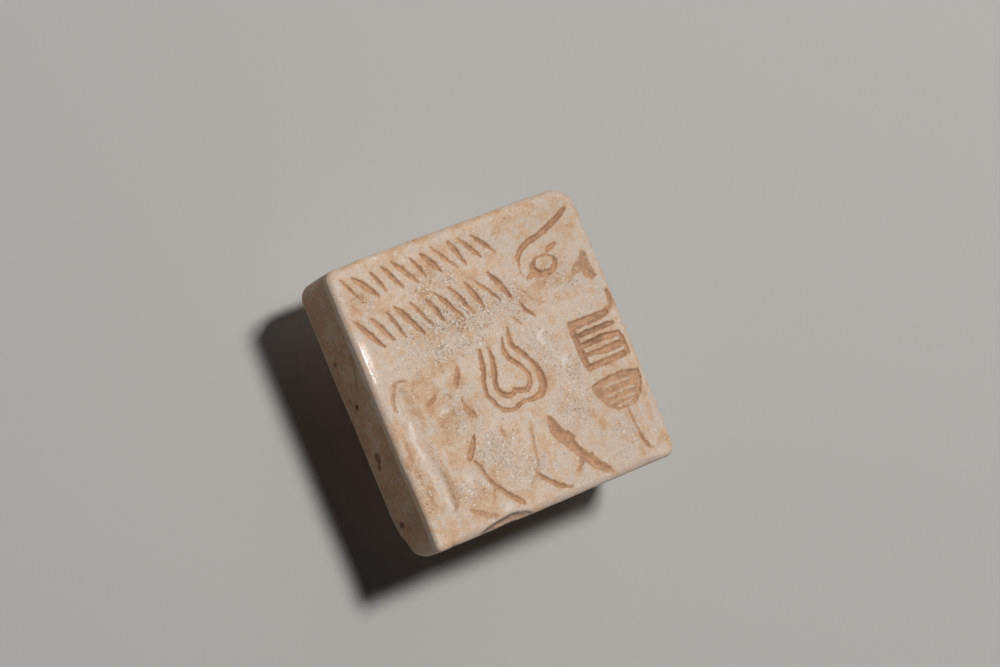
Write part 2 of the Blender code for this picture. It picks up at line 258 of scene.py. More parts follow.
boss = bmesh.new()
profile = [
    (0.0, boss_height + boss_overlap),
    (boss_radius + neck_flare, boss_height + boss_overlap),
    (boss_radius + neck_flare, boss_height),
    (boss_radius + 0.22 * neck_flare, boss_height - 0.45 * neck_flare),
    (boss_radius, boss_height - neck_flare),
]
for step in range(13):
    radius = foot_radius + (boss_radius - foot_radius) * math.cos(step / 12 * math.pi / 2)
    profile.append((radius, dome_height(radius)))
profile.append((0.0, 0.0))
corners = [boss.verts.new((radius, 0.0, height)) for radius, height in profile]
for upper, lower in zip(corners, corners[1:]):
    boss.edges.new((upper, lower))
bmesh.ops.spin(
    boss, geom=boss.verts[:] + boss.edges[:], cent=(0.0, 0.0, 0.0), axis=(0.0, 0.0, 1.0),
    angle=2 * math.pi, steps=96, use_merge=True, use_duplicate=False)
bmesh.ops.remove_doubles(boss, verts=boss.verts, dist=0.001)
bmesh.ops.recalc_face_normals(boss, faces=boss.faces)
boss_solid = object_of("boss", boss)


# The cord hole, drilled from both sides to meet in the middle, and so wider at its mouths. The
# drill has wandered a little on one side.

hole_level = boss_height - 2.6
hole_waist_radius = 1.1
hole_mouth_radius = 1.6
drill_reach = boss_radius + neck_flare + boss_overlap

drills = []
for turn, wander in ((90.0, 0.10), (-90.0, -0.08)):
    drill = bmesh.new()
    bmesh.ops.create_cone(
        drill, cap_ends=True, segments=40, radius1=hole_waist_radius, radius2=hole_mouth_radius,
        depth=drill_reach + boss_overlap)
    bmesh.ops.translate(drill, vec=(0.0, 0.0, (drill_reach - boss_overlap) / 2), verts=drill.verts)
    bmesh.ops.rotate(
        drill, cent=(0.0, 0.0, 0.0), matrix=Matrix.Rotation(math.radians(turn), 3, "Y"),
        verts=drill.verts)
    bmesh.ops.translate(drill, vec=(0.0, wander, hole_level + wander), verts=drill.verts)
    drills.append(object_of("drill", drill))
    combine(boss_solid, drills[-1], "DIFFERENCE")

worn_skin = boss_solid.modifiers.new("worn_skin", "REMESH")
worn_skin.mode = "VOXEL"
worn_skin.voxel_size = boss_grain
boss = bmesh_of(boss_solid, *drills)
for rub in range(3):
    bmesh.ops.smooth_vert(
        boss, verts=boss.verts, factor=0.5, use_axis_x=True, use_axis_y=True, use_axis_z=True)


# The groove over the dome, filed at right angles to the hole, and the dome's rubbed skin.

groove_half_width = 0.72
groove_share = 0.85
foot_flatness = 0.05

spots = read_points(boss)
boss.normal_update()
outwards = np.array([vert.normal for vert in boss.verts])
groove_line = []
for step in range(33):
    turn = math.pi * step / 32
    along = -boss_radius * math.cos(turn)
    width = groove_half_width * (0.35 + 0.65 * math.sin(turn))
    groove_line.append((along, dome_height(abs(along)), width))
filed = np.zeros(len(spots))
for (y0, z0, width0), (y1, z1, width1) in zip(groove_line, groove_line[1:]):
    run = np.array([y1 - y0, z1 - z0])
    offset = spots[:, 1:] - (y0, z0)
    share = np.clip(offset @ run / (run @ run), 0.0, 1.0)
    width = width0 + share * (width1 - width0)
    gap = np.hypot(spots[:, 0], np.linalg.norm(offset - share[:, None] * run, axis=1))
    filed = np.maximum(filed, np.sqrt(np.clip(width * width - gap * gap, 0.0, None)))
rubbed = wear_depth(spots, (2.6, 0.10, 31), (0.8, 0.04, 32)) * ease(spots[:, 2] / 0.8)
spots -= outwards * (groove_share * filed + rubbed)[:, None]
spots[:, 2] = np.where(spots[:, 2] < foot_flatness, 0.0, spots[:, 2])
write_points(boss, spots)

plate_solid = object_of("plate", plate)
boss_solid = object_of("boss", boss)
combine(plate_solid, boss_solid, "UNION")
seal = bmesh_of(plate_solid, boss_solid)


# The carving's drawing: a bull that looks right, with one long horn and a heart-shaped collar. Each
# stroke has its depth, the width of its wall, the soil left in it and its line of places, with the
# half width at each place, in millimetres from the lower left of the face.

horn = [(20.92, 23.6, .12), (21.2, 24.5, .22), (21.9, 25.2, .30), (22.8, 25.62, .32),
        (24.0, 25.85, .30), (25.3, 26.2, .30), (26.5, 26.68, .30), (27.6, 27.15, .28),
        (28.5, 27.65, .16)]
head_strokes = [
    ("horn", 0.28, 0.24, 0.88, horn),
    ("horn_edge", 0.10, 0.10, 0.55, [(20.9, 23.6, .05), (20.85, 23.0, .07), (20.9, 22.4, .05)]),
    ("ear", 0.26, 0.14, 0.80, [(24.5, 24.05, .08), (25.1, 24.3, .27), (25.9, 24.6, .10)]),
    ("brow", 0.05, 0.08, 0.05, [(24.95, 23.75, .05), (25.4, 23.45, .09), (25.9, 23.1, .05)]),
    ("eye_corner", 0.18, 0.14, 0.88, [(22.3, 22.45, .34), (21.8, 22.3, .26), (21.2, 22.15, .10)]),
    ("nose", 0.14, 0.46, 0.45, [(28.40, 22.80, .26), (28.30, 22.2, .50), (28.10, 21.5, .72),
                                (28.15, 20.8, .68), (28.40, 20.2, .46)]),
    ("mouth", 0.14, 0.40, 0.42, [(28.0, 21.4, .62), (27.2, 21.4, .56), (26.7, 21.3, .34)]),
    ("lip", 0.20, 0.20, 0.85, [(28.1, 20.7, .40), (27.8, 20.25, .20), (28.9, 20.1, .16)]),
    ("jaw", 0.12, 0.10, 0.28, [(20.2, 21.1, .07), (20.6, 20.3, .10), (21.4, 19.65, .11),
                               (22.3, 19.25, .06)]),
    ("throat", 0.26, 0.14, 0.80, [(19.3, 20.3, .08), (19.6, 19.5, .20), (20.0, 18.85, .18),
                                  (20.5, 18.35, .06)]),
    ("neck_nick", 0.16, 0.10, 0.65, [(18.0, 18.9, .05), (18.3, 18.4, .09), (18.6, 18.1, .05)]),
]

collar_outer = [
    (12.92, 17.1, .14), (12.85, 16.7, .22), (12.7, 16.0, .27), (12.45, 15.2, .27),
    (12.15, 14.4, .24), (11.93, 13.5, .23), (11.85, 12.8, .25), (12.1, 12.0, .24),
    (12.55, 11.15, .22), (13.2, 10.65, .22), (14.1, 10.42, .22), (14.9, 10.68, .23),
    (15.85, 10.72, .22), (16.8, 10.7, .28), (17.55, 10.9, .42), (18.1, 11.5, .46),
    (18.4, 12.4, .42), (18.38, 13.2, .35), (18.05, 14.15, .29), (17.55, 15.1, .28),
    (17.0, 15.9, .30), (16.6, 16.5, .31), (16.62, 17.1, .24), (16.78, 17.7, .15),
    (16.95, 18.2, .07)]
collar_inner = [
    (13.9, 17.15, .13), (14.0, 16.3, .24), (13.78, 15.3, .31), (13.5, 14.4, .28),
    (13.22, 13.6, .26), (13.15, 12.9, .27), (13.45, 12.25, .29), (14.1, 11.85, .27),
    (14.65, 11.95, .28), (15.0, 12.15, .26), (15.5, 11.98, .27), (15.95, 11.8, .26),
    (16.5, 11.9, .27), (17.0, 12.45, .26), (17.12, 13.2, .26), (16.75, 14.0, .27),
    (16.2, 14.8, .29), (15.7, 15.5, .30), (15.5, 16.2, .27), (15.65, 16.9, .20),
    (15.92, 17.6, .09)]
body_strokes = [
    ("collar_outer", 0.27, 0.24, 0.85, collar_outer),
    ("collar_inner", 0.27, 0.24, 0.88, collar_inner),
    ("flank", 0.16, 0.16, 0.60, [(9.9, 16.7, .06), (9.7, 16.0, .26), (9.3, 15.3, .30),
                                 (9.0, 14.5, .08)]),
    ("flank_low", 0.14, 0.20, 0.74, [(9.15, 13.4, .08), (9.0, 12.6, .22), (9.35, 11.7, .40),
                                     (9.7, 11.2, .20)]),
    ("rib_nick", 0.18, 0.10, 0.85, [(5.15, 13.85, .14), (5.8, 14.15, .20), (6.35, 14.45, .16)]),
    ("side_nick", 0.14, 0.12, 0.34, [(7.2, 14.15, .14), (7.8, 13.95, .24), (8.1, 13.6, .08)]),
    ("belly", 0.20, 0.16, 0.85, [(8.75, 9.5, .10), (8.3, 8.9, .26), (7.7, 8.1, .36),
                                 (7.15, 7.5, .28)]),
    ("belly_mark", 0.10, 0.10, 0.65, [(11.75, 9.0, .06), (11.8, 8.6, .14), (11.9, 8.2, .06)]),
    ("tail", 0.18, 0.14, 0.36, [(3.9, 17.0, .10), (3.0, 17.05, .15), (2.4, 16.75, .17),
                                (2.05, 16.1, .18), (1.7, 15.3, .18), (1.5, 14.6, .12)]),
    ("tail_low", 0.08, 0.25, 0.16, [(1.3, 12.6, .10), (1.15, 11.0, .22), (1.15, 8.5, .26),
                                    (1.3, 6.4, .22), (1.6, 4.6, .30), (1.7, 3.8, .14)]),
    ("hind_leg_far", 0.07, 0.20, 0.28, [(4.2, 8.2, .06), (4.4, 6.6, .10), (4.42, 5.0, .15),
                                        (4.15, 3.8, .16), (3.6, 3.1, .08)]),
    ("hind_leg", 0.22, 0.22, 0.58, [(7.6, 7.1, .14), (7.95, 6.4, .20), (8.15, 5.5, .22),
                                    (8.45, 4.6, .24), (8.95, 3.85, .26), (9.5, 3.0, .27),
                                    (10.1, 2.35, .30), (10.7, 1.8, .34), (11.0, 1.4, .22)]),
    ("hind_toe", 0.12, 0.14, 0.50, [(8.7, 4.1, .10), (8.3, 3.4, .14), (8.0, 2.8, .08)]),
    ("hind_foot", 0.12, 0.22, 0.45, [(5.0, 2.85, .08), (5.6, 2.4, .24), (6.3, 1.9, .34),
                                     (7.0, 1.45, .32), (7.7, 1.2, .14)]),
    ("fore_leg", 0.19, 0.42, 1.00, [(17.4, 8.25, .30), (17.5, 7.4, .56), (17.6, 6.7, .64),
                                    (18.0, 5.9, .64), (18.45, 5.2, .60), (18.95, 4.4, .50),
                                    (19.5, 3.5, .50), (20.1, 2.7, .54), (20.7, 2.0, .50),
                                    (21.3, 1.4, .40), (21.8, 1.0, .16)]),
    ("knee", 0.16, 0.30, 1.00, [(18.5, 6.0, .50), (18.95, 5.7, .36)]),
    ("heel", 0.12, 0.20, 0.72, [(20.0, 3.0, .30), (20.4, 3.3, .16)]),
    ("fore_toe", 0.10, 0.24, 0.46, [(19.5, 3.7, .24), (18.9, 2.9, .30), (18.2, 2.1, .16)]),
    ("far_fore_leg", 0.14, 0.18, 0.32, [(15.25, 8.7, .10), (14.95, 7.9, .16), (14.7, 6.9, .18),
                                        (14.5, 5.8, .16), (14.3, 4.7, .14), (13.8, 3.75, .22),
                                        (13.1, 3.15, .16), (12.5, 2.75, .06)]),
    ("far_fore_foot", 0.20, 0.20, 0.80, [(13.7, 3.5, .18), (14.2, 2.9, .24), (14.8, 2.3, .28),
                                         (15.4, 1.75, .28), (16.1, 1.3, .20), (16.9, 1.0, .08)]),
]


# The stand before the bull: a box of five bars over a ribbed bowl, on a thin shaft.

stand_strokes = [
    ("stand_left", 0.24, 0.20, 1.00, [(23.76, 16.2, .36), (23.72, 14.0, .36), (23.78, 12.2, .34),
                                      (23.95, 11.3, .26)]),
    ("bar_top", 0.26, 0.15, 1.00, [(23.85, 16.05, .42), (25.2, 16.02, .44), (27.0, 16.08, .45),
                                   (28.2, 16.15, .36)]),
    ("bar_second", 0.24, 0.15, 0.95, [(23.8, 14.84, .26), (25.6, 14.90, .27), (27.4, 14.94, .28),
                                      (28.6, 14.86, .18)]),
    ("bar_third", 0.25, 0.15, 0.95, [(23.8, 13.75, .31), (25.4, 13.82, .32), (27.2, 13.84, .36),
                                     (28.8, 13.66, .28)]),
    ("bar_fourth", 0.25, 0.13, 0.97, [(23.8, 12.80, .20), (25.2, 12.72, .24), (26.6, 12.60, .34),
                                      (28.0, 12.64, .36), (28.8, 12.60, .34)]),
    ("bar_low", 0.26, 0.15, 1.00, [(23.9, 11.42, .32), (26.0, 11.45, .33), (28.4, 11.50, .36)]),
    ("stand_right", 0.18, 0.16, 0.85, [(28.85, 13.6, .22), (28.95, 12.6, .26), (28.9, 11.6, .28)]),
    ("hook", 0.16, 0.16, 0.75, [(28.3, 16.4, .20), (29.0, 16.55, .20), (29.35, 17.2, .26),
                                (29.4, 18.2, .18)]),
    ("shaft", 0.18, 0.12, 0.48, [(26.3, 6.3, .10), (26.38, 5.2, .15), (26.45, 3.8, .17),
                                 (26.6, 2.6, .20), (26.9, 1.85, .18), (27.3, 1.5, .06)]),
    ("shaft_side", 0.08, 0.12, 0.30, [(25.9, 6.2, .06), (25.9, 4.0, .09), (26.0, 1.2, .06)]),
]
bowl_middle = 26.35
bowl_top = 9.65
bowl_half_width = 3.05
bowl_drop = 3.55
bowl_foot = 6.3
bowl_depth = 0.19
bowl_ribs = [(9.02, 1.70, .17), (8.08, 1.70, .19), (7.32, 1.70, .18), (6.78, 0.9, .12)]


# The rows over the bull's back: plain shallow strokes, all leaning one way and set apart.

row_strokes = []
for middle_y, half_length, shift in ((27.1, 1.45, 0.0), (22.5, 1.75, 1.0)):
    for index in range(11):
        middle_x = 2.2 + 1.58 * index
        lean = 0.75 + 0.30 * math.sin(2.1 * index + shift)
        length = half_length * (0.88 + 0.12 * math.cos(1.7 * index + shift))
        width = 0.17 + 0.15 * math.sin(1.3 * index + shift) ** 2
        soil = 0.62 + 0.30 * math.sin(0.9 * index + 2.0 * shift) ** 2
        row_strokes.append(("row_stroke", 0.22, 0.13, soil, [
            (middle_x - lean, middle_y + length, 0.4 * width),
            (middle_x - 0.4 * lean, middle_y + 0.45 * length, width),
            (middle_x + 0.4 * lean, middle_y - 0.40 * length, 0.95 * width),
            (middle_x + lean, middle_y - length, 0.4 * width)]))


# The broad hollows of the bull's body, hardly deeper than the ground, and the long trough behind
# the hind leg.

hollows = [
    (0.12, 1.40, 0.10, [(5.2, 16.4, 1.1), (6.0, 14.8, 1.7), (6.6, 12.6, 1.7), (6.0, 10.6, 1.5),
                        (5.2, 9.0, .8)]),
    (0.08, 1.30, 0.00, [(8.5, 14.5, 1.4), (10.4, 12.5, 1.4), (11.0, 10.5, 1.2)]),
    (0.07, 1.20, 0.00, [(5.6, 6.3, 1.0), (6.3, 5.0, 1.0)]),
    (0.06, 1.40, 0.00, [(22.0, 21.6, 1.5), (24.0, 21.4, 1.2)]),
    (0.05, 1.20, 0.00, [(14.8, 14.2, 1.3), (15.1, 13.2, 1.2)]),
]


trough_places = [2.9, 3.6, 5.0, 7.0, 10.0, 13.0, 15.5, 16.8]
trough_left = [3.2, 2.6, 2.25, 2.05, 1.95, 2.0, 2.2, 2.9]
trough_right = [3.6, 4.2, 4.45, 4.35, 4.5, 4.6, 4.2, 3.4]
trough_slope = [0.5, 0.7, 0.8, 0.9, 2.0, 2.2, 1.6, 0.5]
trough_wall = 0.52
trough_deepest = 0.32


def trough_depth(places):
    """The long trough, steep on its left and mostly fading out on its right."""
    x, y = places.T
    from_left = ease((x - np.interp(y, trough_places, trough_left)) / trough_wall)
    from_right = ease((np.interp(y, trough_places, trough_right) - x)
                      / np.interp(y, trough_places, trough_slope))
    return trough_deepest * from_left * from_right * ease((y - 2.8) / 0.8) * ease((16.9 - y) / 1.0)


def smooth_path(points, steps=5):
    """A smooth line through the places, half widths included."""
    places = np.array(points, dtype=float)
    padded = np.concatenate([places[:1], places, places[-1:]])
    path = []
    for before, start, end, after in zip(padded, padded[1:], padded[2:], padded[3:]):
        for step in range(steps):
            t = step / steps
            path.append(0.5 * (
                2 * start + (end - before) * t
                + (2 * before - 5 * start + 4 * end - after) * t * t
                + (3 * start - before - 3 * end + after) * t * t * t))
    path.append(places[-1])
    return path


def reach_into(places, points):
    """How far each place lies inside a stroke's edge, in millimetres, and below 0 outside it."""
    path = smooth_path(points)
    inside = np.full(len(places), -9.0)
    line = np.array(path)
    low = line[:, :2].min(axis=0) - 2.2
    high = line[:, :2].max(axis=0) + 2.2
    near = np.flatnonzero(np.all((places > low) & (places < high), axis=1))
    spots_near = places[near]
    best = np.full(len(near), -9.0)
    for start, end in zip(path, path[1:]):
        run = end[:2] - start[:2]
        offset = spots_near - start[:2]
        share = np.clip(offset @ run / max(run @ run, 1e-9), 0.0, 1.0)
        gap = np.linalg.norm(offset - share[:, None] * run, axis=1)
        np.maximum(best, start[2] + share * (end[2] - start[2]) - gap, out=best)
    inside[near] = best
    return inside


def reach_into_eye(places):
    outer_x, outer_y = 1.74, 1.18
    inner_x, inner_y = 1.02, 0.66
    outer = np.hypot((places[:, 0] - 23.65) / outer_x, (places[:, 1] - 22.84) / outer_y)
    inner = np.hypot((places[:, 0] - 23.72) / inner_x, (places[:, 1] - 23.06) / inner_y)
    return np.minimum((1.0 - outer) * 1.35, (inner - 1.0) * 0.80)


def reach_into_bowl(places):
    across = (places[:, 0] - bowl_middle) / bowl_half_width
    height = places[:, 1]
    rim = bowl_top + 0.42 * np.cos(np.clip(across, -1.0, 1.0) * math.pi / 2)
    oval = 1.0 - np.hypot(across, np.minimum(height - bowl_top, 0.0) / bowl_drop)
    return np.minimum(np.minimum(oval * 2.9, rim - height), height - bowl_foot)


cut_depth_left = 0.80
wall_spread = 1.25
rib_height = 0.11


def carve(places):
    """Depth of the cut, soil in it, and how near each place is to an edge of the carving.

    Wear has left each cut shallower than it was drawn, and its walls wider.
    """
    flat = np.concatenate([places, np.zeros((len(places), 1))], axis=1)
    ragged = places + 0.065 * np.stack([uneven(flat, 0.55, 41), uneven(flat, 0.55, 42)], axis=1)
    ragged += 0.042 * np.stack([uneven(flat, 0.20, 43), uneven(flat, 0.20, 44)], axis=1)
    depth = np.zeros(len(places))
    soil = np.zeros(len(places))
    edge = np.full(len(places), -9.0)
    strokes = head_strokes + body_strokes + stand_strokes + row_strokes
    for name, deepest, wall, stain, points in strokes:
        inside = reach_into(ragged, points)
        worn_cut = ease((inside + 0.03) / (wall_spread * wall))
        depth = np.maximum(depth, cut_depth_left * deepest * worn_cut)
        soil = np.maximum(soil, stain * ease((inside + 0.11) / 0.20))
        edge = np.maximum(edge, inside)
    for inside, deepest, stain in (
            (reach_into_eye(ragged), 0.19, 0.85), (reach_into_bowl(ragged), bowl_depth, 0.55)):
        depth = np.maximum(depth, deepest * ease(inside / 0.24))
        soil = np.maximum(soil, stain * ease((inside + 0.08) / 0.18))
        edge = np.maximum(edge, inside)
    for height, half_length, half_width in bowl_ribs:
        rib = reach_into(ragged, [(bowl_middle - half_length, height - 0.04, 0.5 * half_width),
                                  (bowl_middle, height, half_width),
                                  (bowl_middle + half_length, height + 0.05, 0.5 * half_width)])
        depth -= rib_height * ease((rib + 0.08) / 0.20)
        soil -= 0.50 * ease((rib + 0.08) / 0.16)
    depth *= 1.0 + 0.14 * uneven(flat, 0.7, 45)
    for deepest, wall, stain, points in hollows:
        inside = reach_into(places, points)
        depth += deepest * ease(inside / wall)
        soil = np.maximum(soil, stain * ease(inside / wall))
    depth += trough_depth(places)
    return depth, soil, edge


# Finer squares are laid wherever a stroke or its edge passes, and then the face is cut. A thin
# crack on the left wall is opened in the same way.

fine_side = 0.13
crack_depth = 0.10
wall_crack = [(21.7, 12.1, .02), (20.9, 11.8, .06), (19.9, 11.5, .05), (18.9, 11.0, .06),
              (18.1, 10.4, .02)]
middles = np.array([f.calc_center_median() for f in seal.faces])
facing = np.array([f.normal for f in seal.faces])
on_face = (facing[:, 2] > 0.9) & (middles[:, 2] > face_level - 0.3)
on_left = facing[:, 0] < -0.8
edge = np.full(len(middles), -9.0)
edge[on_face] = carve(middles[on_face][:, :2] + half_side)[2]
edge[on_left] = reach_into(middles[on_left][:, 1:] + (half_side, 0.0), wall_crack)
cut_edges = set()
for face, inside in zip(seal.faces, edge):
    if inside > -0.16:
        cut_edges.update(e for e in face.edges if e.calc_length() > fine_side)
bmesh.ops.subdivide_edges(seal, edges=list(cut_edges), cuts=1, use_grid_fill=True)

spots = read_points(seal)
on_top = spots[:, 2] > face_level - 1.0
on_left = spots[:, 0] < 0.7 - half_side
depth = np.zeros(len(spots))
soil = np.zeros(len(spots))
edge = np.full(len(spots), -9.0)
depth[on_top], soil[on_top], edge[on_top] = carve(spots[on_top][:, :2] + half_side)
ground = wear_depth(spots, (2.6, 0.045, 51), (0.9, 0.022, 52), (0.35, 0.008, 53))
spots[:, 2] -= np.where(on_top, depth + ground * ease((spots[:, 2] - face_level + 1.0) / 0.8), 0.0)
crack = np.zeros(len(spots))
cracked = reach_into(spots[on_left][:, 1:] + (half_side, 0.0), wall_crack)
crack[on_left] = ease((cracked + 0.05) / 0.10)
spots[:, 0] += crack_depth * crack
soil = np.maximum(soil, 0.9 * crack)


# Chips and pits. A long flake is gone from the lower rim, small ones from the other rims and the
# corners, and six pits lie in the left wall. Each is a rough hollow pressed in from outside, with
# its middle from the lower left of the face, its three radii and how broken it looks.

chips = [
    ((8.6, -0.56, 0.04), (3.7, 1.3, 0.66), 0.9),
    ((9.2, -0.1, 0.06), (1.5, 0.98, 0.42), 0.9),
    ((8.6, -1.2, -1.0), (3.5, 1.55, 1.3), 0.9),
    ((30.35, 4.9, 0.1), (0.7, 0.9, 0.8), 0.6),
    ((2.0, -0.35, 0.1), (0.75, 0.7, 0.5), 0.6),
    ((-0.4, 7.0, 0.0), (0.65, 0.8, 0.55), 0.5),
    ((-0.45, 4.6, 0.0), (0.65, 0.7, 0.6), 0.5),
    ((29.9, 28.9, 0.2), (0.9, 0.7, 0.6), 0.6),
    ((10.4, 30.3, 0.05), (0.55, 0.5, 0.4), 0.9),
    ((15.3, 30.28, 0.05), (0.9, 0.48, 0.4), 0.9),
    ((19.4, 30.3, 0.05), (0.5, 0.45, 0.35), 0.9),
    ((4.6, 30.25, 0.00), (0.8, 0.45, 0.45), 0.9),
    ((0.2, 31.0, -6.2), (1.6, 1.3, 1.5), 0.9),
    ((-0.6, 1.2, -6.6), (1.4, 2.2, 1.1), 0.8),
]
wall_pits = [(21.3, -5.2, 0.28, 0.38), (17.3, -5.4, 0.26, 0.28), (16.5, -4.5, 0.32, 0.30),
             (11.0, -4.5, 0.55, 0.50), (10.1, -5.0, 0.35, 0.30), (4.0, -5.3, 0.30, 0.50)]
chips += [((-0.02, up, level), (0.52, wide, tall), 0.9) for up, level, wide, tall in wall_pits]
broken = np.zeros(len(spots))
rough = uneven(spots, 0.9, 61) + 0.5 * uneven(spots, 0.35, 62) + 0.3 * uneven(spots, 0.16, 63)
for middle, radii, roughness in chips:
    centre = np.array(middle) + (-half_side, -half_side, face_level)
    offset = (spots - centre) / np.array(radii)
    distance = np.linalg.norm(offset, axis=1)
    wanted = 1.0 + 0.07 * roughness * rough
    hit = distance < wanted
    grown = offset * (wanted / np.maximum(distance, 1e-6))[:, None] * np.array(radii) + centre
    spots[hit] = grown[hit]
    broken = np.maximum(broken, roughness * ease((wanted - distance + 0.04) / 0.08))
write_points(seal, spots)


# What lies on the stone: soil in the cuts, warm stain around them and in patches, pits where its
# grain is coarse, paler places, partly worn stone and partly painted highlights, painted shade, and
# the rubbed gloss of its left rim. Each is painted on the mesh as a share, with ovals given by
# their middle, two radii and strength.

stain_and_shade_patches = [
    # The left rim and the trough; the patches along the trough's right side are painted shade.
    (4.3, 6.2, 0.4, 3.2, 0.95), (1.3, 9.6, 1.0, 2.4, 1.15), (1.4, 5.2, 1.5, 2.4, 1.1),
    (1.0, 12.8, 1.0, 2.4, 0.85), (2.4, 1.5, 3.4, 2.2, 0.62), (1.5, 15.6, 1.0, 1.2, 0.5),
    (3.9, 13.6, 0.7, 2.8, 1.0), (4.3, 9.5, 0.8, 2.2, 0.9),
    # The rump and the flank.
    (5.4, 16.2, 2.1, 1.2, 1.2), (5.6, 14.4, 2.6, 2.4, 0.95), (7.0, 12.0, 2.2, 1.8, 0.95),
    (5.2, 10.2, 1.9, 1.6, 1.05), (6.6, 11.6, 1.3, 0.9, 1.35), (9.5, 12.0, 1.2, 1.8, 0.85),
    (9.6, 15.5, 1.2, 1.8, 0.85), (7.6, 8.4, 1.8, 1.6, 0.75), (8.0, 17.1, 3.0, 1.0, 0.95),
    (9.2, 15.0, 1.5, 1.4, 0.95),
    # The hind legs.
    (6.4, 3.0, 3.4, 2.2, 0.8), (6.0, 7.6, 1.6, 2.2, 0.7), (9.0, 4.8, 1.0, 1.6, 0.8),
    (6.2, 1.9, 1.9, 1.0, 1.05), (9.6, 4.6, 1.5, 2.0, 0.6), (11.4, 1.7, 1.3, 0.8, 0.7),
    (10.8, 1.8, 1.6, 0.9, 0.9),
    # The collar, the chest and the fore legs.
    (15.0, 12.5, 5.0, 6.0, 0.32), (18.6, 2.9, 1.1, 1.8, 0.75), (15.4, 2.4, 1.8, 1.2, 0.62),
    (20.0, 9.6, 2.0, 1.6, 0.4), (14.4, 6.0, 1.0, 2.4, 0.55), (15.6, 5.4, 1.0, 2.4, 0.85),
    (18.8, 11.6, 0.8, 1.8, 0.9), (12.6, 14.2, 1.6, 3.4, 0.45), (19.3, 12.8, 1.0, 1.4, 0.6),
    (16.9, 6.4, 0.9, 2.0, 0.72), (16.6, 9.8, 2.2, 0.9, 0.62), (17.2, 14.4, 1.8, 3.4, 0.45),
    (14.8, 10.8, 3.2, 1.4, 0.45), (21.4, 3.2, 1.6, 1.6, 0.4),
    # The stand and the right rim.
    (24.0, 7.6, 4.0, 3.6, 0.3), (22.6, 5.6, 1.1, 0.9, 1.15), (22.3, 6.6, 0.6, 0.8, 0.9),
    (28.9, 2.2, 0.8, 1.5, 0.8), (26.6, 2.6, 1.1, 1.6, 0.75), (24.4, 9.9, 1.2, 0.6, 0.6),
    (28.9, 10.1, 0.9, 0.6, 0.55), (29.4, 17.2, 0.7, 1.4, 0.9), (27.3, 3.6, 0.6, 2.0, 0.85),
    (26.2, 13.8, 3.2, 3.0, 0.8), (26.3, 8.0, 3.0, 2.2, 0.85), (28.5, 7.6, 0.9, 5.4, 0.72),
    (26.4, 10.6, 3.0, 0.7, 0.72),
    # The back and the rows over it.
    (16.8, 29.2, 2.6, 0.8, 0.85), (7.6, 28.8, 2.2, 1.1, 0.8), (2.6, 26.4, 2.2, 2.4, 0.8),
    (11.0, 29.7, 3.0, 0.6, 0.9), (3.4, 29.5, 2.4, 0.7, 0.7), (1.6, 24.8, 1.5, 1.6, 1.0),
    (5.6, 24.0, 2.4, 2.2, 0.85), (10.6, 26.6, 2.6, 2.2, 0.9), (14.6, 24.6, 2.4, 2.2, 0.9),
    (18.2, 25.6, 1.6, 2.0, 0.7), (8.0, 20.4, 2.6, 2.0, 0.75), (10.0, 24.2, 2.2, 1.6, 0.8),
    (13.5, 28.0, 3.0, 1.2, 0.75), (12.6, 20.6, 2.8, 2.2, 0.7), (4.0, 21.7, 1.6, 1.2, 0.7),
    # The head and the upper right corner.
    (22.3, 21.0, 2.2, 1.6, 1.1), (21.0, 20.2, 1.4, 1.0, 0.75), (24.9, 20.6, 2.0, 0.8, 0.5),
    (28.6, 28.2, 0.9, 0.9, 0.75), (24.0, 29.1, 2.2, 0.8, 0.85), (20.4, 29.6, 2.6, 0.5, 0.8),
    (26.6, 24.6, 1.6, 1.0, 0.35), (27.0, 26.6, 3.2, 2.8, 0.72), (28.0, 21.3, 1.4, 1.6, 0.8),
    (23.6, 22.8, 1.4, 0.9, 0.7), (20.5, 20.0, 2.8, 1.8, 0.62), (23.0, 26.8, 2.4, 1.8, 0.6),
    (26.0, 21.0, 1.4, 1.2, 0.75), (25.0, 19.4, 2.4, 1.1, 0.55), (20.6, 28.5, 2.6, 1.1, 0.8),
]
coarse_patches = [
    (12.0, 21.0, 7.5, 2.6, 1.0), (11.0, 24.5, 4.0, 3.0, 0.65), (19.8, 15.2, 2.9, 3.4, 0.52),
    (18.4, 20.6, 3.2, 2.6, 0.9), (10.0, 18.5, 6.5, 2.0, 0.7), (8.0, 11.5, 3.2, 3.0, 0.65),
    (10.5, 7.0, 3.5, 3.0, 0.7), (12.6, 4.4, 3.2, 2.4, 0.6), (20.6, 8.6, 3.0, 3.0, 0.6),
    (24.6, 21.6, 2.6, 2.2, 0.6), (6.0, 4.4, 2.2, 1.8, 0.7), (22.5, 12.0, 1.4, 2.4, 0.6),
    (25.0, 4.0, 2.6, 2.2, 0.35), (17.0, 27.5, 4.5, 2.0, 0.45), (5.8, 20.6, 3.0, 1.6, 0.5),
    (3.0, 26.0, 2.6, 2.6, 0.55), (1.4, 6.0, 1.2, 4.0, 0.6),
]
